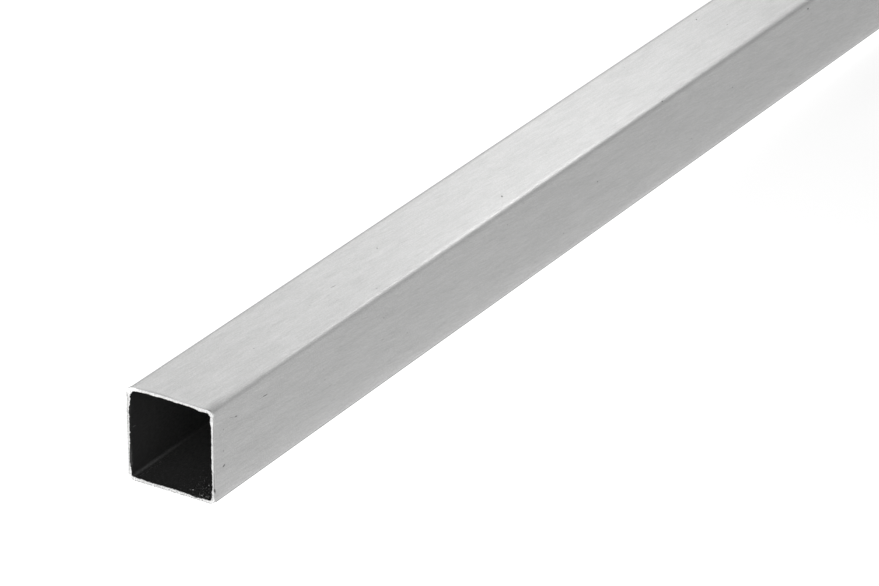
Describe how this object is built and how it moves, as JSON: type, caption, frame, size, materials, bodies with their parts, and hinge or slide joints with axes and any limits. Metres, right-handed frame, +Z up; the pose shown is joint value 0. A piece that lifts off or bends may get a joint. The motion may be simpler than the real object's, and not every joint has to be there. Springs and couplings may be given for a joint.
{
  "type": "shower stabilizer bar",
  "caption": "Straight square hollow bar of thin brushed stainless steel with rounded long edges and plain saw-cut ends, used to brace a glass shower panel.",
  "frame": {"origin": "middle of the bottom face, halfway between the two saw cuts", "axes": "+X along the bar towards the end that the picture doesn't show, +Y across it, +Z up"},
  "size_m": [1, 0.025, 0.025],
  "materials": {
    "brushed_stainless": "satin, finely brushed along the bar"
  },
  "bodies": {
    "root": {"square_tube": "brushed_stainless"}
  },
  "joints": []
}
